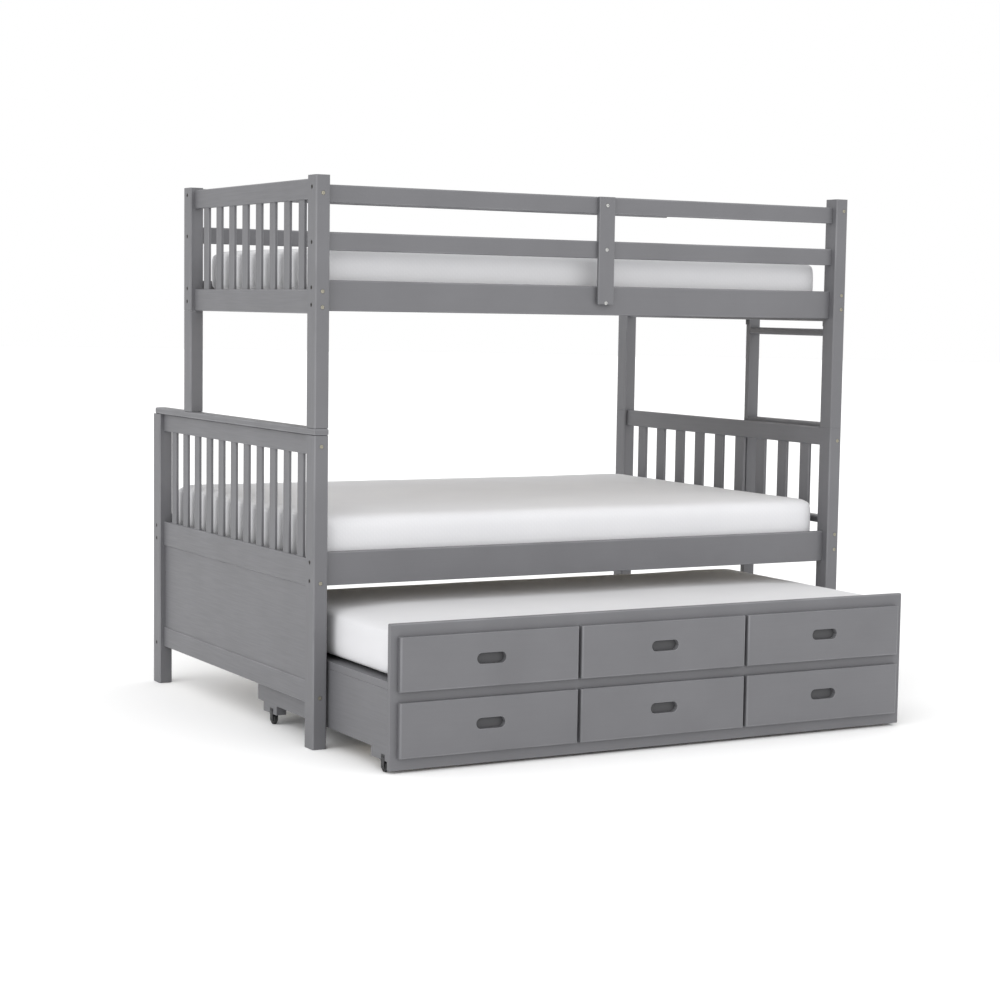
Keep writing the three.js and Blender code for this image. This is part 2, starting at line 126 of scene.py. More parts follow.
def length(name, description, default):
    return bpy.props.FloatProperty(name=name, description=description, default=default, unit="LENGTH")


def share(name, description, default):
    return bpy.props.FloatProperty(name=name, description=description, default=default,
                                   min=0, max=1, subtype="FACTOR")


def colour(name, description, default):
    return bpy.props.StringProperty(name=name, description=description + ", as sRGB hex", default=default)


class BoardSettings(bpy.types.PropertyGroup):
    ease: length("Eased edge", "Radius sanded on every edge of a board", 1.4 * MM)
    slat_ease: length("Eased slat edge", "Radius sanded on the edges of the thin slats", 0.5 * MM)
    paint: colour("Paint", "Colour of the satin lacquer", "626265")
    # Worn paint is the lighter colour of the rounded edges: a painted highlight, with some paint rubbed thin
    edge_highlight_and_wear: colour("Worn paint", "Colour where edges are rubbed thin", "747477")
    pine: colour("Pine", "Early wood of the unpainted slats and drawer boxes", "CFC5B3")
    pine_dark: colour("Pine growth ring", "Late wood of the same boards", "AE9D80")


class FrontSettings(bpy.types.PropertyGroup):
    edge: length("Pillow edge", "Radius on the face of a drawer front", 5 * MM)
    pull_reach: length("Pull reach", "Half the length of the finger pull", 50 * MM)
    pull_radius: length("Pull radius", "Half the height of the finger pull", 17 * MM)
    pull_lift: length("Pull lift", "Height of the pull above the middle of its front", 4 * MM)
    pull_rim: length("Pull rim", "Radius around the finger pull", 1.6 * MM)
    # The dark colour at the back of the finger pull is painted shade in the recess
    recess: colour("Pull back", "Primer left at the back of the finger pull", "464648")
    wall: length("Drawer wall", "Thickness of the sides of a drawer box", 12 * MM)
    inner: length("Inner front", "Thickness of the board behind the front", 10 * MM)
    floor: length("Drawer floor", "Thickness of a drawer's bottom", 8 * MM)
    box_ease: length("Eased box edge", "Radius sanded on the edges of a drawer box", 0.8 * MM)


class BoltSettings(bpy.types.PropertyGroup):
    head: length("Bolt head", "Radius of a flush bolt head", 6 * MM)
    recess: length("Counterbore", "Radius of the hole a bolt head sits in", 6.9 * MM)
    depth: length("Counterbore depth", "Depth of that hole", 3.5 * MM)
    socket: length("Hex socket", "Radius of the six-sided socket", 2.9 * MM)
    brass: colour("Yellow zinc", "Plating of the bolt heads on the front faces", "9E9A8C")
    # The dark heads on the end faces stand in for the shade of their deeper holes: painted shade
    dark: colour("Dark zinc", "Plating of the bolt heads on the end faces", "4A4844")
    bright: colour("Bright zinc", "Plating of the bolt heads on the guard brackets", "B9B9B7")


class CasterSettings(bpy.types.PropertyGroup):
    steel: length("Bracket steel", "Thickness of the pressed bracket", 1.4 * MM)
    flange: length("Bracket flange", "Height of the bracket above the foot of the trundle", 19 * MM)
    rubber: colour("Tread", "Moulded wheel", "1B1B1D")
    bracket: colour("Bracket", "Black coating of the pressed steel", "232325")


class MattressSettings(bpy.types.PropertyGroup):
    shrink: length("Start inset", "How much smaller the cover starts before it is filled", 5 * MM)
    swell: length("Swell", "Most that a point of the cover may move", 8 * MM)
    voxel: length("Voxel", "Spacing of the cover's mesh", 21 * MM)
    pressure: bpy.props.FloatProperty(name="Pressure", description="Filling pressure", default=4)
    stiffness: bpy.props.FloatProperty(name="Stiffness", description="Resistance to stretch", default=12)
    steps: bpy.props.IntProperty(name="Steps", description="Frames that the filling takes", default=20)
    draw: length("Drawn sides", "How far the sides pull in between the corners", 4 * MM)
    crown: length("Crown", "Rise of the top at its middle", 2.5 * MM)
    fill: share("Fill", "How firmly the mattress is filled", 0.85)
    ticking: colour("Ticking", "Colour of the knitted cover", "D1D1D3")
    # Ticking hollow: the darker colour in the knit's hollows is painted shade, and it also gives the random
    # cloudy tone
    ticking_shade_and_tone: colour("Ticking hollow", "Colour in the hollows of the knit", "C4C4C7")


class StageSettings(bpy.types.PropertyGroup):
    camera_at: bpy.props.FloatVectorProperty(
        name="Camera", description="Where the camera stands", default=(-3.8594, -6.8799, 1.3912),
        size=3, subtype="TRANSLATION")
    turn: bpy.props.FloatVectorProperty(
        name="Camera turn", description="Yaw from +Y towards +X, pitch and roll of the camera",
        default=(0.5213, -0.0979, 0.017), size=3)
    lens: bpy.props.FloatProperty(name="Lens", description="Focal length in millimetres", default=80.77)
    shift: bpy.props.FloatVectorProperty(
        name="Shift", description="Lens shift", default=(-0.05, 0.0293), size=2)
    floor: colour("Floor", "Studio floor", "FBFBFB")
    sky: bpy.props.FloatProperty(name="Sky", description="Strength of the white surround", default=1.0)
    key: bpy.props.FloatProperty(
        name="Key", description="Strength of the soft light on the left", default=1.2)
    fill: bpy.props.FloatProperty(
        name="Fill", description="Strength of the soft light from the front", default=0.9)


SETTINGS = {
    "bunk_board": BoardSettings, "bunk_front": FrontSettings, "bunk_bolt": BoltSettings,
    "bunk_caster": CasterSettings, "bunk_mattress": MattressSettings, "bunk_stage": StageSettings,
}


# ---- modelling helpers ---------------------------------------------

def focus(piece):
    """Leaves only this piece selected and active."""
    bpy.ops.object.select_all(action="DESELECT")
    piece.select_set(True)
    bpy.context.view_layer.objects.active = piece
    return piece


def edit(piece, work):
    """Runs work() in edit mode on this piece alone."""
    focus(piece)
    bpy.ops.object.mode_set(mode="EDIT")
    work()
    bpy.ops.object.mode_set(mode="OBJECT")
    return piece


def select_faces(piece, test):
    """Selects the faces that pass test(centre, normal), while the piece is in edit mode."""
    bpy.ops.mesh.select_mode(type="FACE")
    bpy.ops.mesh.select_all(action="DESELECT")
    bpy.ops.object.mode_set(mode="OBJECT")
    for face in piece.data.polygons:
        face.select = test(face.center, face.normal)
    bpy.ops.object.mode_set(mode="EDIT")


def place(piece):
    """Moves the piece's place, turn and size into its mesh."""
    focus(piece)
    bpy.ops.object.transform_apply(location=True, rotation=True, scale=True)
    return piece


def box_piece(name, low, high):
    """A plain box between two corners."""
    bpy.ops.object.select_all(action="DESELECT")
    low, high = Vector(low), Vector(high)
    bpy.ops.mesh.primitive_cube_add(size=1, location=(low + high) / 2, scale=high - low)
    piece = bpy.context.object
    piece.name = piece.data.name = name
    return place(piece)


def cylinder(name, centre, axis, radius, depth, vertices=32):
    """Cylinder about a line through centre, along the given direction."""
    bpy.ops.object.select_all(action="DESELECT")
    turn = ALONG_Z.rotation_difference(axis).to_euler()
    bpy.ops.mesh.primitive_cylinder_add(
        vertices=vertices, radius=radius, depth=depth, location=centre, rotation=turn)
    piece = bpy.context.object
    piece.name = piece.data.name = name
    return place(piece)


def modify(piece, kind, **settings):
    """Adds one modifier and applies it."""
    modifier = piece.modifiers.new(kind.title(), kind)
    for key, value in settings.items():
        setattr(modifier, key, value)
    focus(piece)
    bpy.ops.object.modifier_apply(modifier=modifier.name)
    return piece


def merge(pieces, name):
    """Joins pieces into one object with this name."""
    bpy.ops.object.select_all(action="DESELECT")
    for piece in pieces:
        piece.select_set(True)
    bpy.context.view_layer.objects.active = pieces[0]
    bpy.ops.object.join()
    pieces[0].name = pieces[0].data.name = name
    return pieces[0]


def cut(piece, cutters):
    """Takes the cutters out of the piece and removes them."""
    for cutter in cutters:
        modify(piece, "BOOLEAN", operation="DIFFERENCE", solver="EXACT", object=cutter)
        bpy.data.objects.remove(cutter)
    return piece


def ease(piece, width, segments=2, angle=30):
    """Rounds every edge sharper than angle, and shades the small faces smooth and the large ones flat."""
    modify(piece, "BEVEL", width=width, segments=segments, limit_method="ANGLE",
           angle_limit=math.radians(angle))
    focus(piece)
    bpy.ops.object.shade_smooth_by_angle(angle=SMOOTH_UNDER)
    modify(piece, "WEIGHTED_NORMAL", keep_sharp=True, weight=50)
    return piece


def mark_eased(piece):
    """Stores on each face whether it is part of a rounded edge, where the paint is drawn lighter as a painted
    highlight and as wear.
    """
    eased = piece.data.attributes.new("eased", "FLOAT", "FACE")
    for face in piece.data.polygons:
        eased.data[face.index].value = float(max(abs(part) for part in face.normal) < 0.995)
    return piece


def copy_node(node, name):
    """A merged copy of a CAD node's triangles, with its flat faces whole again."""
    mesh = frame["nodes"][node].data.copy()
    mesh.name = name
    mesh.materials.clear()
    piece = bpy.data.objects.new(name, mesh)
    bpy.context.scene.collection.objects.link(piece)

    def clean():
        bpy.ops.mesh.select_mode(type="VERT")
        bpy.ops.mesh.select_all(action="SELECT")
        bpy.ops.mesh.remove_doubles(threshold=SAME_PLACE)
        bpy.ops.mesh.dissolve_limited(angle_limit=math.radians(0.5))
        bpy.ops.mesh.customdata_custom_splitnormals_clear()

    return edit(piece, clean)


def body_of(node):
    """The name of the body that a CAD node moves with."""
    bodies = frame["record"]["behaviour"]["bodies"]
    return next(name for name, members in bodies.items() if node in members)


def finish_piece(piece, body, material=None, nodes=()):
    """Gives a piece its finish and its body, and hides the CAD nodes that it stands for."""
    if material is not None:
        piece.data.materials.clear()
        piece.data.materials.append(material)
    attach(piece, body)
    if nodes:
        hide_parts(*nodes)
    return piece


def span(node):
    """A CAD node's low corner, high corner and size."""
    low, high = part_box(node)
    return low, high, high - low


# ---- materials -----------------------------------------------------

def linear(hex_colour, alpha=1.0):
    """sRGB hex to linear RGBA."""
    parts = [int(hex_colour[i:i + 2], 16) / 255 for i in (0, 2, 4)]
    return (*(p / 12.92 if p <= 0.04045 else ((p + 0.055) / 1.055) ** 2.4 for p in parts), alpha)


def add(tree, kind, inputs=None, **settings):
    """Adds one node with its settings; an input is a value or another node's output."""
    made = tree.nodes.new(kind)
    for key, value in settings.items():
        setattr(made, key, value)
    for key, value in (inputs or {}).items():
        if isinstance(value, bpy.types.NodeSocket):
            tree.links.new(value, made.inputs[key])
        else:
            made.inputs[key].default_value = value
    return made


def new_material(name):
    """An empty material: its tree, its shader and its Object coordinates."""
    material = bpy.data.materials.get(name)
    if material:
        return material, None, None, None
    material = bpy.data.materials.new(name)
    material.use_nodes = True
    tree = material.node_tree
    tree.nodes.clear()
    shader = add(tree, "ShaderNodeBsdfPrincipled")
    add(tree, "ShaderNodeOutputMaterial", {"Surface": shader.outputs[0]})
    return material, tree, shader, add(tree, "ShaderNodeTexCoord").outputs["Object"]


def stretched(tree, coords, axis, along, across):
    """Object coordinates scaled so that a pattern is long on one axis: features per metre."""
    scale = [across] * 3
    scale["XYZ".index(axis)] = along
    return add(tree, "ShaderNodeMapping", {"Vector": coords, "Scale": scale}).outputs[0]


def mix(tree, factor, a, b):
    """Mixes two colours by a factor."""
    made = add(tree, "ShaderNodeMix", {0: factor, 6: a, 7: b}, data_type="RGBA")
    return made.outputs[2]


def remap(tree, value, low, high, to_low, to_high):
    """Maps one range of values to another, clamped at its ends."""
    made = add(tree, "ShaderNodeMapRange", {0: value, 1: low, 2: high, 3: to_low, 4: to_high})
    return made.outputs[0]


def lacquered_softwood(axis):
    """Satin grey lacquer sprayed over sanded softwood: an even, slightly cloudy grey, the grain just
    telegraphing through as long shallow ripples, fine orange peel, and the rounded edges drawn
    lighter as a painted highlight, with some paint rubbed thin there."""
    material, tree, shader, coords = new_material("lacquered_softwood_" + axis.lower())
    if tree is None:
        return material
    settings = bpy.context.scene.bunk_board
    cloud = add(tree, "ShaderNodeTexNoise", {"Vector": coords, "Scale": 5, "Detail": 3}).outputs[0]
    # Grain lines about 5 mm apart and 150 mm long, drawn coarser than real ones so that they show
    grain_at = stretched(tree, coords, axis, 7, 200)
    grain = add(tree, "ShaderNodeTexNoise", {"Vector": grain_at, "Scale": 1, "Detail": 4}).outputs[0]
    # Orange peel of the sprayed coat, about 2 mm
    peel = add(tree, "ShaderNodeTexNoise", {"Vector": coords, "Scale": 500, "Detail": 1}).outputs[0]
    # Rounded edge faces, broken up by the cloud, are drawn lighter: a painted highlight along the edges, with
    # some paint rubbed thin
    eased = add(tree, "ShaderNodeAttribute", attribute_name="eased").outputs["Fac"]
    edge_highlight_and_wear = add(tree, "ShaderNodeMath", {0: eased, 1: remap(tree, cloud, 0.35, 0.65, 0.25, 1.0)},
               operation="MULTIPLY").outputs[0]
    paint = linear(settings.paint)
    tone = remap(tree, cloud, 0.3, 0.7, 0.0, 1.0)
    base = mix(tree, tone, [c * 0.955 for c in paint[:3]] + [1], [c * 1.045 for c in paint[:3]] + [1])
    lines = mix(tree, remap(tree, grain, 0.4, 0.7, 0.0, 0.035), base, [c * 0.8 for c in paint[:3]] + [1])
    coat = mix(tree, edge_highlight_and_wear, lines, linear(settings.edge_highlight_and_wear))
    tree.links.new(coat, shader.inputs["Base Color"])
    tree.links.new(remap(tree, grain, 0.3, 0.7, 0.42, 0.52), shader.inputs["Roughness"])
    fine = add(tree, "ShaderNodeBump", {"Height": peel, "Strength": 0.06, "Distance": 0.0004})
    deep = add(tree, "ShaderNodeBump",
               {"Height": grain, "Strength": 0.03, "Distance": 0.0006, "Normal": fine.outputs[0]})
    tree.links.new(deep.outputs[0], shader.inputs["Normal"])
    shader.inputs["IOR"].default_value = 1.5
    return material


def planed_pine(axis):
    """Planed, unfinished pine: pale straw early wood with darker growth rings drawn out along the
    board, small fibres, and a dry matt surface."""
    material, tree, shader, coords = new_material("planed_pine_" + axis.lower())
    if tree is None:
        return material
    settings = bpy.context.scene.bunk_board
    # Growth rings 4 to 8 mm apart, wandering over half a metre
    ring_at = stretched(tree, coords, axis, 1.6, 34)
    wander = add(tree, "ShaderNodeTexNoise", {"Vector": ring_at, "Scale": 0.6, "Detail": 2}).outputs["Color"]
    warped = mix(tree, 0.35, ring_at, wander)
    rings = add(tree, "ShaderNodeTexWave", {"Vector": warped, "Scale": 1.1, "Distortion": 5, "Detail": 2},
                wave_type="BANDS", bands_direction="DIAGONAL").outputs["Fac"]
    fibre_at = stretched(tree, coords, axis, 25, 900)
    fibre = add(tree, "ShaderNodeTexNoise", {"Vector": fibre_at, "Scale": 1, "Detail": 3}).outputs[0]
    pale, dark = linear(settings.pine), linear(settings.pine_dark)
    wood = mix(tree, remap(tree, rings, 0.55, 1.0, 0.0, 0.75), pale, dark)
    shade = mix(tree, remap(tree, fibre, 0.3, 0.7, 0.0, 0.3), wood, dark)
    tree.links.new(shade, shader.inputs["Base Color"])
    tree.links.new(remap(tree, fibre, 0.3, 0.7, 0.6, 0.78), shader.inputs["Roughness"])
    bump = add(tree, "ShaderNodeBump", {"Height": fibre, "Strength": 0.25, "Distance": 0.0004})
    tree.links.new(bump.outputs[0], shader.inputs["Normal"])
    return material


def painted_shade_primer():
    """Dark primer at the back of a finger pull, coloured darker as painted shade in the recess: matt and
    mottled.
    """
    material, tree, shader, coords = new_material("painted_shade_primer")
    if tree is None:
        return material
    mottle = add(tree, "ShaderNodeTexNoise", {"Vector": coords, "Scale": 140, "Detail": 3}).outputs[0]
    tint = linear(bpy.context.scene.bunk_front.recess)
    face = mix(tree, remap(tree, mottle, 0.35, 0.65, 0.0, 1.0), [c * 0.9 for c in tint[:3]] + [1], tint)
    tree.links.new(face, shader.inputs["Base Color"])
    tree.links.new(remap(tree, mottle, 0.3, 0.7, 0.6, 0.75), shader.inputs["Roughness"])
    bump = add(tree, "ShaderNodeBump", {"Height": mottle, "Strength": 0.1, "Distance": 0.0003})
    tree.links.new(bump.outputs[0], shader.inputs["Normal"])
    return material


def knitted_ticking():
    """Knitted polyester mattress cover: off-white loops in rows, the faint hollows between them drawn
    darker as painted shade, a soft sheen at grazing angles. The loops are 2 mm in the cloth and drawn at 5 mm
    so that they show."""
    material, tree, shader, coords = new_material("knitted_polyester_ticking")
    if tree is None:
        return material
    settings = bpy.context.scene.bunk_mattress
    row = add(tree, "ShaderNodeTexWave", {"Vector": coords, "Scale": 32, "Distortion": 0.4, "Detail": 1},
              wave_type="BANDS", bands_direction="X").outputs["Fac"]
    course = add(tree, "ShaderNodeTexWave", {"Vector": coords, "Scale": 32, "Distortion": 0.4, "Detail": 1},
                 wave_type="BANDS", bands_direction="DIAGONAL").outputs["Fac"]
    loops = add(tree, "ShaderNodeMath", {0: row, 1: course}, operation="MULTIPLY").outputs[0]
    fuzz = add(tree, "ShaderNodeTexNoise", {"Vector": coords, "Scale": 700, "Detail": 2}).outputs[0]
    cloud = add(tree, "ShaderNodeTexNoise", {"Vector": coords, "Scale": 3.5, "Detail": 3}).outputs[0]
    ticking, hollow_shade_and_tone = linear(settings.ticking), linear(settings.ticking_shade_and_tone)
    # The hollows between the loops are drawn darker: painted shade. The cloud then moves the tone at random
    # towards the same colour
    face = mix(tree, remap(tree, loops, 0.0, 0.6, 0.14, 0.0), ticking, hollow_shade_and_tone)
    tone = mix(tree, remap(tree, cloud, 0.35, 0.7, 0.0, 0.35), face, hollow_shade_and_tone)
    tree.links.new(tone, shader.inputs["Base Color"])
    tree.links.new(remap(tree, fuzz, 0.3, 0.7, 0.82, 0.95), shader.inputs["Roughness"])
    shader.inputs["Sheen Weight"].default_value = 0.15
    shader.inputs["Sheen Roughness"].default_value = 0.5
    fine = add(tree, "ShaderNodeBump", {"Height": fuzz, "Strength": 0.12, "Distance": 0.0004})
    knit = add(tree, "ShaderNodeBump",
               {"Height": loops, "Strength": 0.1, "Distance": 0.0006, "Normal": fine.outputs[0]})
    tree.links.new(knit.outputs[0], shader.inputs["Normal"])
    return material


def plated_steel(name, hex_colour, roughness):
    """Zinc-plated steel: a soft metallic glint, blotchy from handling, with fine turning marks."""
    material, tree, shader, coords = new_material(name)
    if tree is None:
        return material
    blotch = add(tree, "ShaderNodeTexNoise", {"Vector": coords, "Scale": 320, "Detail": 3}).outputs[0]
    tint = linear(hex_colour)
    face = mix(tree, remap(tree, blotch, 0.35, 0.65, 0.0, 1.0), [c * 0.75 for c in tint[:3]] + [1], tint)
    tree.links.new(face, shader.inputs["Base Color"])
    tree.links.new(remap(tree, blotch, 0.3, 0.7, roughness, roughness + 0.18), shader.inputs["Roughness"])
    bump = add(tree, "ShaderNodeBump", {"Height": blotch, "Strength": 0.1, "Distance": 0.0002})
    tree.links.new(bump.outputs[0], shader.inputs["Normal"])
    shader.inputs["Metallic"].default_value = 0.85
    return material


def moulded_black(name, hex_colour, grit, roughness):
    """Black moulded nylon or powder coat: near-black, fine pebbled surface, scuffed to dark grey."""
    material, tree, shader, coords = new_material(name)
    if tree is None:
        return material
    pebble = add(tree, "ShaderNodeTexNoise", {"Vector": coords, "Scale": grit, "Detail": 2}).outputs[0]
    scuff = add(tree, "ShaderNodeTexNoise", {"Vector": coords, "Scale": grit / 9, "Detail": 4}).outputs[0]
    tint = linear(hex_colour)
    face = mix(tree, remap(tree, scuff, 0.52, 0.72, 0.0, 0.6), tint, [c * 2.6 for c in tint[:3]] + [1])
    tree.links.new(face, shader.inputs["Base Color"])
    tree.links.new(remap(tree, scuff, 0.3, 0.7, roughness, roughness + 0.2), shader.inputs["Roughness"])
    bump = add(tree, "ShaderNodeBump", {"Height": pebble, "Strength": 0.2, "Distance": 0.0002})
    tree.links.new(bump.outputs[0], shader.inputs["Normal"])
    return material


def woven_webbing():
    """Woven polyester strap under the loose slats: pale grey ribs across the strap, drawn darker in the
    grooves between them as painted shade.
    """
    material, tree, shader, coords = new_material("woven_polyester_webbing")
    if tree is None:
        return material
    rib = add(tree, "ShaderNodeTexWave", {"Vector": coords, "Scale": 110}, bands_direction="X").outputs["Fac"]
    tree.links.new(mix(tree, rib, linear("B9B7B2"), linear("DAD8D3")), shader.inputs["Base Color"])
    bump = add(tree, "ShaderNodeBump", {"Height": rib, "Strength": 0.4, "Distance": 0.0005})
    tree.links.new(bump.outputs[0], shader.inputs["Normal"])
    shader.inputs["Roughness"].default_value = 0.85
    return material


# ---- bolts and their holes -----------------------------------------

def bolt_spots():
    """Each bolt as (node, outward direction, point on the face)."""
    spots = []
    for node, face, rail, shares, across in BOLT_ROWS:
        low, high, size = span(node)
        rail_low, _, rail_size = span(rail)
        out = OUTWARD[face]
        for part in shares:
            point = (low + high) / 2
            flat = 1 if out.x else 0
            point[flat] = low[flat] + across * size[flat]
            point.z = rail_low.z + part * rail_size.z
            side = 1 - flat
            point[side] = high[side] if out[side] > 0 else low[side]
            spots.append((node, out, point))
    return spots


def counterbores(node):
    """Cutters for the holes that the bolt heads of this post sit in."""
    settings = bpy.context.scene.bunk_bolt
    return [
        cylinder("counterbore", point, out, settings.recess, 2 * settings.depth, 24)
        for owner, out, point in bolt_spots() if owner == node
    ]


def bolt_head():
    """One bolt head with a six-sided socket, about the origin, facing +Z."""
    settings = bpy.context.scene.bunk_bolt
    thick, socket_depth = 2.4 * MM, 1.6 * MM
    head = cylinder("bolt_head", (0, 0, 0), ALONG_Z, settings.head, thick, 24)
    cut(head, [cylinder("socket", (0, 0, thick / 2), ALONG_Z, settings.socket, 2 * socket_depth, 6)])
    return ease(head, 0.35 * MM, 2)


class BUNK_OT_bolts(bpy.types.Operator):
    """Sets a bolt head in each counterbore of the posts and the guard brackets"""
    bl_idname = "bunk.bolts"
    bl_label = "Bolts"

    def execute(self, context):
        settings = context.scene.bunk_bolt
        brass = plated_steel("yellow_zinc_plated_steel", settings.brass, 0.38)
        # Heads on the end faces take a dark colour: painted shade for their deeper holes
        dark = plated_steel("end_face_bolt_painted_shade_steel", settings.dark, 0.45)
        bright = plated_steel("bright_zinc_plated_steel", settings.bright, 0.35)
        head = bolt_head()
        spots = bolt_spots()
        for node in sorted({spot[0] for spot in spots}):
            copies = []
            for owner, out, point in spots:
                if owner != node:
                    continue
                sink = 2.2 * MM if out.x else 1.35 * MM
                turn = ALONG_Z.rotation_difference(out).to_matrix().to_4x4()
                copy = bpy.data.objects.new("bolt", head.data.copy())
                context.scene.collection.objects.link(copy)
                copy.data.transform(Matrix.Translation(point - out * sink) @ turn)
                copy.data.materials.clear()
                copy.data.materials.append(bright if "bracket" in node else dark if out.x else brass)
                copies.append(copy)
            bolts = merge(copies, node + "_bolts")
            finish_piece(bolts, "bed")
        bpy.data.objects.remove(head)
        return {"FINISHED"}


# ---- boards --------------------------------------------------------

class BUNK_OT_boards(bpy.types.Operator):
    """Eases and paints every plain board, post and slat bank of the bed, ladder and trundle"""
    bl_idname = "bunk.boards"
    bl_label = "Painted boards"

    def execute(self, context):
        settings = context.scene.bunk_board
        own_pass = set(SOFT_NODES + DECK_NODES) | {w + "_wheel" for w in WHEELS}
        own_pass |= {f"trundle_{d}_{kind}" for d in DRAWERS for kind in ("drawer", "false_front")}
        bored = {row[0] for row in BOLT_ROWS}
        for node in sorted(set(frame["nodes"]) - own_pass):
            size = span(node)[2]
            board = copy_node(node, node + "_board")
            if node in bored:
                cut(board, counterbores(node))
            slats = node in UPRIGHT_NODES
            ease(board, settings.slat_ease if slats else settings.ease, 2)
            mark_eased(board)
            axis = "Z" if slats else "XYZ"[max(range(3), key=lambda i: size[i])]
            bare = node.startswith("trundle_divider")
            finish_piece(board, body_of(node),
                         planed_pine(axis) if bare else lacquered_softwood(axis), [node])
        return {"FINISHED"}


class BUNK_OT_decks(bpy.types.Operator):
    """Planes the loose slats of both decks and weaves the straps under them"""
    bl_idname = "bunk.decks"
    bl_label = "Slat decks"

    def execute(self, context):
        edge, strap_depth, strap_half = 0.8 * MM, 2 * MM, 16 * MM
        for node in DECK_NODES:
            low, high, size = span(node)
            deck = copy_node(node, node + "_slats")
            ease(deck, edge, 2)
            deck.data.materials.clear()
            for material in (planed_pine("Y"), woven_webbing()):
                deck.data.materials.append(material)
            underside = low.z + strap_depth
            for face in deck.data.polygons:
                beside = abs(face.center.y - (low.y + high.y) / 2) - size.y / 4
                if face.center.z < underside and abs(beside) < strap_half:
                    face.material_index = 1
            finish_piece(deck, "bed", None, [node])
        return {"FINISHED"}


# ---- trundle fronts and drawers ------------------------------------

def stadium_cutter(centre, half_length, radius, depth):
    """A long slot with round ends, running through along Y."""
    cutter = cylinder("slot", centre, ALONG_Y, radius, depth, 48)
    for vertex in cutter.data.vertices:
        across = vertex.co.x - centre.x
        if abs(across) > 1e-6:
            vertex.co.x += math.copysign(half_length - radius, across)
    return cutter


def pulled_front(name, low, high):
    """A drawer front with a pillowed face and a finger pull, closed behind by a dark plate that paints the
    shade of the pull.
    """
    settings = bpy.context.scene.bunk_front
    reach, radius = settings.pull_reach, settings.pull_radius
    board = box_piece(name, low, high)
    centre = (low + high) / 2
    centre.z += settings.pull_lift
    cut(board, [stadium_cutter(centre, reach, radius, 100 * MM)])

    def pillow():
        bpy.ops.mesh.select_mode(type="EDGE")
        bpy.ops.mesh.select_all(action="DESELECT")
        bpy.ops.object.mode_set(mode="OBJECT")
        points = board.data.vertices
        for line in board.data.edges:
            ends = [points[i].co for i in line.vertices]
            on_face = all(abs(p.y - low.y) < SAME_PLACE for p in ends)
            rim = any(all(abs(p[i] - side[i]) < SAME_PLACE for p in ends)
                      for i in (0, 2) for side in (low, high))
            line.select = on_face and rim
        bpy.ops.object.mode_set(mode="EDIT")
        bpy.ops.mesh.bevel(offset=settings.edge, segments=5, affect="EDGES")

    edit(board, pillow)
    ease(board, settings.pull_rim, 3, 60)
    mark_eased(board)
    board.data.materials.append(lacquered_softwood("X"))
    # The plate behind the pull is coloured dark as painted shade in the recess
    gap, thick = 0.2 * MM, 1.2 * MM
    back_at = Vector((centre.x, high.y - 0.3 * MM - thick / 2, centre.z))
    back = stadium_cutter(back_at, reach - gap, radius - gap, thick)
    ease(back, gap, 1, 60)
    back.data.materials.append(painted_shade_primer())
    return merge([board, back], name)


class BUNK_OT_fronts(bpy.types.Operator):
    """Makes the three fixed fronts of the trundle's upper row"""
    bl_idname = "bunk.fronts"
    bl_label = "Fixed fronts"

    def execute(self, context):
        for side in DRAWERS:
            node = f"trundle_{side}_false_front"
            low, high, _ = span(node)
            front = pulled_front(node + "_board", low, high)
            finish_piece(front, "trundle", None, [node])
        return {"FINISHED"}


class BUNK_OT_drawers(bpy.types.Operator):
    """Makes the three drawers of the trundle's lower row: a painted front on a pine box"""
    bl_idname = "bunk.drawers"
    bl_label = "Drawers"

    def execute(self, context):
        settings = context.scene.bunk_front
        for side in DRAWERS:
            node = f"trundle_{side}_drawer"
            low, high, _ = span(node)
            points = [v.co for v in frame["nodes"][node].data.vertices]
            back = [p for p in points if p.y > high.y - MM]
            body = f"{side}_drawer"
            x0, x1 = min(p.x for p in back), max(p.x for p in back)
            z0, z1 = min(p.z for p in back), max(p.z for p in back)
            y0 = span(f"trundle_{side}_false_front")[1].y
            front = pulled_front(node + "_front", low, Vector((high.x, y0, high.z)))
            finish_piece(front, body, None, [node])
            wall, lip = settings.wall, 0.2 * MM
            y1 = y0 + settings.inner
            parts = [
                box_piece("side", (x0, y0 + lip, z0), (x0 + wall, high.y, z1)),
                box_piece("side", (x1 - wall, y0 + lip, z0), (x1, high.y, z1)),
                box_piece("end", (x0 + wall + lip, y0 + lip, z0), (x1 - wall - lip, y1, z1)),
                box_piece("end", (x0 + wall + lip, high.y - wall, z0), (x1 - wall - lip, high.y, z1)),
            ]
            for part in parts:
                ease(part, settings.box_ease, 2)
            bottom = box_piece("bottom", (x0 + wall, y1, z0 + 0.5 * MM),
                               (x1 - wall, high.y - wall, z0 + settings.floor))
            for part, axis in zip(parts + [bottom], "YYXXX"):
                part.data.materials.append(planed_pine(axis))
            parts[2].data.materials[0] = lacquered_softwood("X")
            box = merge(parts + [bottom], node + "_box")
            finish_piece(box, body, None, [node])
        return {"FINISHED"}


# ---- casters -------------------------------------------------------

def caster_wheel(name, low, high):
    """A moulded wheel: rounded tread, sunk web and raised hub on both sides."""
    width = high.x - low.x - 2 * MM
    wheel = cylinder(name, (low + high) / 2, ALONG_X, (high.z - low.z) / 2, width, 48)

    def shape():
        select_faces(wheel, lambda c, n: abs(n.x) > 0.9)
        bpy.ops.mesh.bevel(offset=2.6 * MM, segments=3, affect="EDGES")
        select_faces(wheel, lambda c, n: abs(n.x) > 0.999)
        bpy.ops.mesh.inset(thickness=1.6 * MM, use_individual=True)
        bpy.ops.mesh.inset(thickness=0.5 * MM, depth=-1.2 * MM, use_individual=True)
        bpy.ops.mesh.inset(thickness=5.2 * MM, use_individual=True)
        bpy.ops.mesh.inset(thickness=0.4 * MM, depth=2.0 * MM, use_individual=True)

    edit(wheel, shape)
    return ease(wheel, 0.25 * MM, 2, 40)


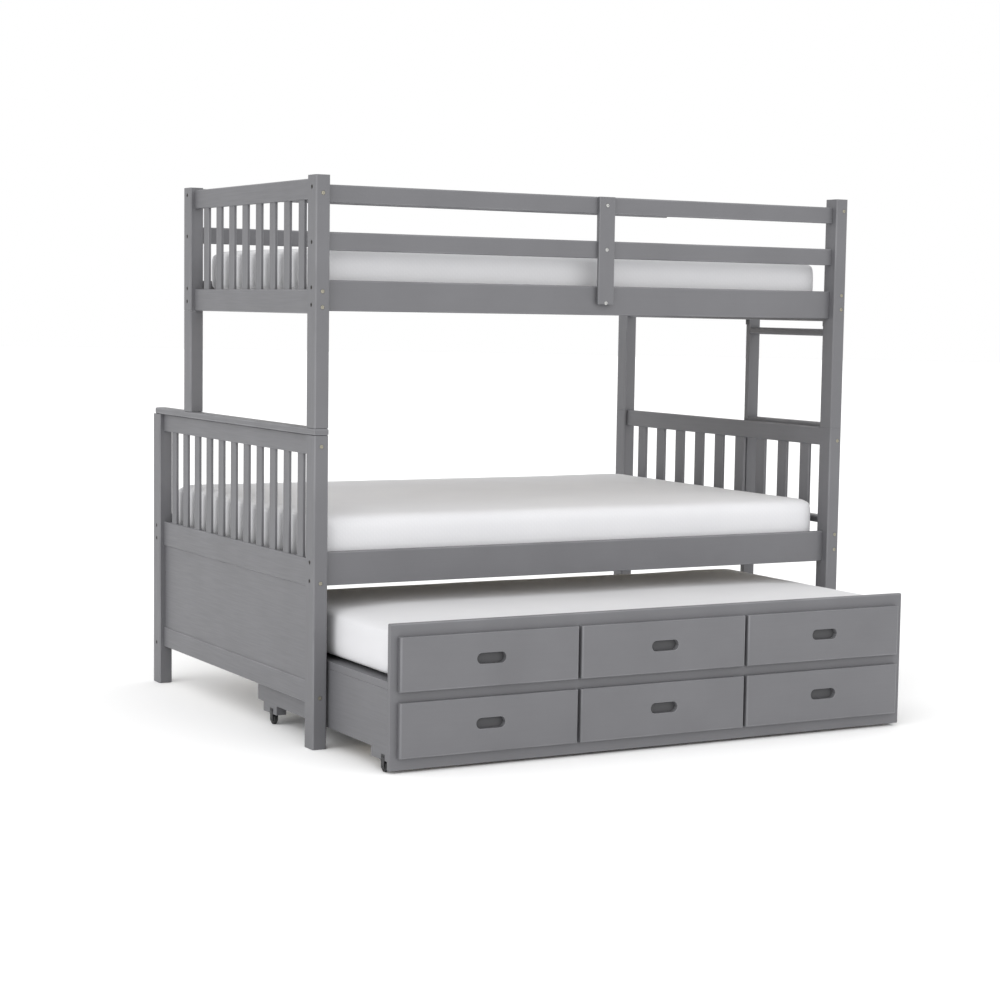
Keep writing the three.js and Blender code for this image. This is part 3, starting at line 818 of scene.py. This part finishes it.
def caster_bracket(name, wheel_low, wheel_high, foot, outer):
    """Pressed bracket: a tall outer cheek screwed to the foot, a plate under it, an inner cheek."""
    settings = bpy.context.scene.bunk_caster
    centre = (wheel_low + wheel_high) / 2
    steel = settings.steel
    sign = -1 if outer < centre.x else 1
    flange = outer + sign * 0.2 * MM
    inside = centre.x - sign * ((wheel_high.x - wheel_low.x) / 2 + 0.4 * MM)
    reach, tip = 11 * MM, centre.z - 7 * MM
    under = foot - 0.1 * MM

    def slab(tag, a, b, y0, y1, z0, z1):
        return box_piece(tag, (min(a, b), y0, z0), (max(a, b), y1, z1))

    cheeks = [
        slab("cheek", flange, flange + sign * steel, centre.y - reach, centre.y + reach,
             tip, foot + settings.flange),
        slab("cheek", inside, inside - sign * steel, centre.y - reach, centre.y + reach, tip, under),
    ]
    for cheek in cheeks:
        def taper(piece=cheek):
            bpy.ops.mesh.select_mode(type="EDGE")
            bpy.ops.mesh.select_all(action="DESELECT")
            bpy.ops.object.mode_set(mode="OBJECT")
            points = piece.data.vertices
            for line in piece.data.edges:
                a, b = (points[i].co for i in line.vertices)
                line.select = abs(a.z - b.z) < 1e-6 and abs(a.y - b.y) < 1e-6 and a.z < centre.z
            bpy.ops.object.mode_set(mode="EDIT")
            bpy.ops.mesh.bevel(offset=7 * MM, segments=5, affect="EDGES")
        edit(cheek, taper)
    plate = slab("plate", flange + sign * steel, inside - sign * steel,
                 centre.y - 16 * MM, centre.y + 16 * MM, under - steel, under)
    axle = cylinder("axle", ((flange + inside) / 2, centre.y, centre.z), ALONG_X, 2.4 * MM,
                    abs(flange - inside) + 4 * steel, 20)
    screw_x, screw_z = flange + sign * (steel + 0.5 * MM), foot + settings.flange - 7 * MM
    screws = [
        cylinder("screw", (screw_x, centre.y + dy, screw_z), ALONG_X, 3 * MM, 1.2 * MM, 20)
        for dy in (-5.5 * MM, 5.5 * MM)
    ]
    bracket = merge(cheeks + [plate, axle] + screws, name)
    return ease(bracket, 0.35 * MM, 2, 40)


class BUNK_OT_casters(bpy.types.Operator):
    """Makes the four fixed casters of the trundle: wheels that turn, and their brackets"""
    bl_idname = "bunk.casters"
    bl_label = "Casters"

    def execute(self, context):
        settings = context.scene.bunk_caster
        nylon = moulded_black("moulded_nylon", settings.rubber, 900, 0.45)
        coat = moulded_black("powder_coated_steel", settings.bracket, 1400, 0.4)
        for spot in WHEELS:
            node = spot + "_wheel"
            low, high, _ = span(node)
            wheel = caster_wheel(node + "_caster", low, high)
            finish_piece(wheel, node, nylon, [node])
            side = "left" if "left" in spot else "right"
            side_low, side_high, _ = span(f"trundle_{side}_side")
            outer = side_low.x if side == "left" else side_high.x
            bracket = caster_bracket(spot + "_bracket", low, high, side_low.z, outer)
            finish_piece(bracket, "trundle", coat)
        return {"FINISHED"}


# ---- ladder hooks --------------------------------------------------

class BUNK_OT_hooks(bpy.types.Operator):
    """Bends the two flat steel hooks that hang the ladder on the cross rail"""
    bl_idname = "bunk.hooks"
    bl_label = "Ladder hooks"

    def execute(self, context):
        rail_low, rail_high, _ = span("right_cross_rail")
        steel, bend, half_width = 2.6 * MM, 4 * MM, 10 * MM
        tail, lip, screw_drops = 95 * MM, 34 * MM, (45 * MM, 80 * MM)
        for end in ("front", "rear"):
            low, high, _ = span(f"ladder_{end}_stile")
            back = low.x - 0.3 * MM - steel / 2
            top = rail_high.z + 0.4 * MM + steel / 2
            inner = rail_low.x - 0.5 * MM - steel / 2
            curve = bpy.data.curves.new("hook", "CURVE")
            curve.dimensions = "3D"
            line = curve.splines.new("POLY")
            points = [(back, top - tail), (back, top - bend)]
            points += [(back - bend + bend * math.cos(a), top - bend + bend * math.sin(a))
                       for a in (math.pi * k / 12 for k in range(1, 6))]
            points += [(back - bend, top), (inner + bend, top)]
            points += [(inner + bend - bend * math.sin(a), top - bend + bend * math.cos(a))
                       for a in (math.pi * k / 12 for k in range(1, 6))]
            points += [(inner, top - bend), (inner, top - lip)]
            line.points.add(len(points) - 1)
            middle = (low.y + high.y) / 2
            for target, (x, z) in zip(line.points, points):
                target.co = (x, middle, z, 1)
            curve.extrude = half_width
            hook = bpy.data.objects.new(f"ladder_{end}_hook", curve)
            context.scene.collection.objects.link(hook)
            focus(hook)
            bpy.ops.object.convert(target="MESH")
            hook = context.object

            def upright():
                bpy.ops.mesh.select_all(action="SELECT")
                bpy.ops.mesh.remove_doubles(threshold=1e-6)
                bpy.ops.mesh.normals_make_consistent(inside=False)
            edit(hook, upright)
            modify(hook, "SOLIDIFY", thickness=steel, offset=0)
            screw_x = back - steel / 2 - 0.5 * MM
            screws = [cylinder("screw", (screw_x, middle, top - drop), ALONG_X, 4 * MM, 1.4 * MM, 24)
                      for drop in screw_drops]
            hook = merge([hook] + screws, f"ladder_{end}_hook")
            ease(hook, 0.4 * MM, 2, 40)
            coat = moulded_black("powder_coated_hook", HOOK_COAT, 1400, 0.4)
            finish_piece(hook, "bed", coat)
        return {"FINISHED"}


# ---- mattresses ----------------------------------------------------

def soften(piece):
    """Fills the cover as cloth under pressure, with each point's travel capped."""
    settings = bpy.context.scene.bunk_mattress
    rest = [v.co.copy() for v in piece.data.vertices]
    cloth = piece.modifiers.new("Filling", "CLOTH")
    cloth.settings.use_pressure = True
    cloth.settings.uniform_pressure_force = settings.pressure
    cloth.settings.quality = 5
    cloth.settings.mass = 0.4
    cloth.settings.tension_stiffness = settings.stiffness
    cloth.settings.compression_stiffness = settings.stiffness
    cloth.settings.bending_stiffness = 2
    cloth.settings.effector_weights.gravity = 0
    cloth.point_cache.frame_start, cloth.point_cache.frame_end = 1, settings.steps
    scene = bpy.context.scene
    for step in range(1, settings.steps + 1):
        scene.frame_set(step)
    focus(piece)
    bpy.ops.object.modifier_apply(modifier=cloth.name)
    scene.frame_set(1)
    for vertex, start in zip(piece.data.vertices, rest):
        move = vertex.co - start
        if move.length > settings.swell:
            vertex.co = start + move.normalized() * settings.swell


class BUNK_OT_mattresses(bpy.types.Operator):
    """Fills and covers the three mattresses"""
    bl_idname = "bunk.mattresses"
    bl_label = "Mattresses"

    def execute(self, context):
        settings = context.scene.bunk_mattress
        for number, node in enumerate(SOFT_NODES):
            low, high, size = span(node)
            centre = (low + high) / 2
            cover = copy_node(node, node + "_cover")
            for vertex in cover.data.vertices:
                for i in (0, 1, 2):
                    offset = vertex.co[i] - centre[i]
                    vertex.co[i] = centre[i] + offset * (1 - 2 * settings.shrink / size[i])
            modify(cover, "REMESH", mode="VOXEL", voxel_size=settings.voxel, use_smooth_shade=True)
            soften(cover)
            self.dress(cover, low, high, number)
            modify(cover, "SUBSURF", levels=1, render_levels=1)
            focus(cover)
            bpy.ops.object.shade_smooth()
            self.lay_flat(cover, low)
            finish_piece(cover, body_of(node), knitted_ticking(), [node])
        return {"FINISHED"}

    def dress(self, cover, low, high, number):
        """Small slack undulations, sides drawn in between the corners, and a flat underside."""
        settings = bpy.context.scene.bunk_mattress
        centre, size = (low + high) / 2, high - low
        for vertex in cover.data.vertices:
            p = vertex.co
            u, v, w = ((p[i] - centre[i]) / (size[i] / 2) for i in (0, 1, 2))
            along, across = 1 - min(1, abs(u)) ** 4, 1 - min(1, abs(v)) ** 4
            if abs(v) > 0.8:
                p.y -= math.copysign(settings.draw * along, v)
            if abs(u) > 0.9:
                p.x -= math.copysign(settings.draw * across, u)
            if w > 0.2:
                p.z += settings.crown * along * across * w
                wave = noise.noise(Vector((p.x * 3.2, p.y * 3.2, 10.0 * number)))
                fold = noise.noise(Vector((p.x * 9, p.y * 9, 20.0 + number)))
                p.z += (1.8 * wave + 0.7 * fold) * MM
            if w < -0.2:
                p.z = max(p.z, low.z + 0.2 * MM)

    def lay_flat(self, cover, low):
        """Rests the underside flat on its boards."""
        floor = low.z + 0.1 * MM
        for vertex in cover.data.vertices:
            if vertex.co.z < floor + 2 * MM:
                vertex.co.z = floor


# ---- stage ---------------------------------------------------------

class BUNK_OT_stage(bpy.types.Operator):
    """Sets up the camera, the pale floor, the white surround and the soft lights"""
    bl_idname = "bunk.stage"
    bl_label = "Stage"

    def execute(self, context):
        settings = context.scene.bunk_stage
        self.camera(context, settings)
        bpy.ops.object.select_all(action="DESELECT")
        bpy.ops.mesh.primitive_circle_add(
            vertices=96, radius=FLOOR_RADIUS, fill_type="NGON", location=(0, 0, -0.5 * MM))
        floor = place(context.object)
        floor.name = "studio_floor"
        material, tree, shader, coords = new_material("matt_studio_floor")
        speck = add(tree, "ShaderNodeTexNoise", {"Vector": coords, "Scale": 2}).outputs[0]
        pale = linear(settings.floor)
        face = mix(tree, speck, pale, [c * 0.99 for c in pale[:3]] + [1])
        tree.links.new(face, shader.inputs["Base Color"])
        shader.inputs["Roughness"].default_value = 0.9
        shader.inputs["Specular IOR Level"].default_value = 0.1
        floor.data.materials.append(material)
        world = bpy.data.worlds.new("white_surround")
        world.use_nodes = True
        background = world.node_tree.nodes["Background"]
        background.inputs["Color"].default_value = (1, 1, 1, 1)
        background.inputs["Strength"].default_value = settings.sky
        context.scene.world = world
        self.light(context, "key", settings.key, Vector((-1.0, -0.5, 0.75)))
        self.light(context, "fill", settings.fill, Vector((0.2, -1.0, 0.35)))
        context.scene.view_settings.view_transform = "Standard"
        return {"FINISHED"}

    def camera(self, context, settings):
        """Stands the camera at its place, turned by yaw, pitch and roll."""
        yaw, pitch, roll = settings.turn
        level = math.cos(pitch)
        ahead = Vector((math.sin(yaw) * level, math.cos(yaw) * level, math.sin(pitch)))
        right = Vector((math.cos(yaw), -math.sin(yaw), 0))
        up = right.cross(ahead)
        side = math.cos(roll) * right + math.sin(roll) * up
        top = math.cos(roll) * up - math.sin(roll) * right
        turn = Matrix((side, top, -ahead)).transposed().to_4x4()
        turn.translation = Vector(settings.camera_at)
        lens = bpy.data.cameras.new("camera")
        lens.lens, lens.sensor_width = settings.lens, SENSOR_WIDTH
        lens.shift_x, lens.shift_y = settings.shift
        camera = bpy.data.objects.new("camera", lens)
        context.scene.collection.objects.link(camera)
        camera.matrix_world = turn
        context.scene.camera = camera

    def light(self, context, name, strength, towards):
        """A wide soft light that shines from one direction."""
        lamp = bpy.data.lights.new(name, "SUN")
        lamp.energy, lamp.angle = strength, LIGHT_SPREAD
        made = bpy.data.objects.new(name, lamp)
        context.scene.collection.objects.link(made)
        made.rotation_euler = towards.to_track_quat("Z", "Y").to_euler()


# ---- panel and registration ----------------------------------------

OPERATORS = (
    BUNK_OT_stage, BUNK_OT_boards, BUNK_OT_decks, BUNK_OT_fronts, BUNK_OT_drawers,
    BUNK_OT_bolts, BUNK_OT_casters, BUNK_OT_hooks, BUNK_OT_mattresses,
)


class BUNK_PT_panel(bpy.types.Panel):
    """Lists the steps that build the bunk bed"""
    bl_idname = "BUNK_PT_panel"
    bl_label = "Bunk bed"
    bl_space_type = "VIEW_3D"
    bl_region_type = "UI"
    bl_category = "Bunk bed"

    def draw(self, context):
        for operator in OPERATORS:
            self.layout.operator(operator.bl_idname)
        for name, group in SETTINGS.items():
            box = self.layout.box()
            for key in group.__annotations__:
                box.prop(getattr(context.scene, name), key)


def register():
    for name, group in SETTINGS.items():
        bpy.utils.register_class(group)
        setattr(bpy.types.Scene, name, bpy.props.PointerProperty(type=group))
    for made in (*OPERATORS, BUNK_PT_panel):
        bpy.utils.register_class(made)


def unregister():
    for made in (BUNK_PT_panel, *reversed(OPERATORS)):
        bpy.utils.unregister_class(made)
    for name, group in SETTINGS.items():
        delattr(bpy.types.Scene, name)
        bpy.utils.unregister_class(group)


def main():
    register()
    for operator in OPERATORS:
        group, name = operator.bl_idname.split(".")
        getattr(getattr(bpy.ops, group), name)()


if __name__ == "__main__":
    main()
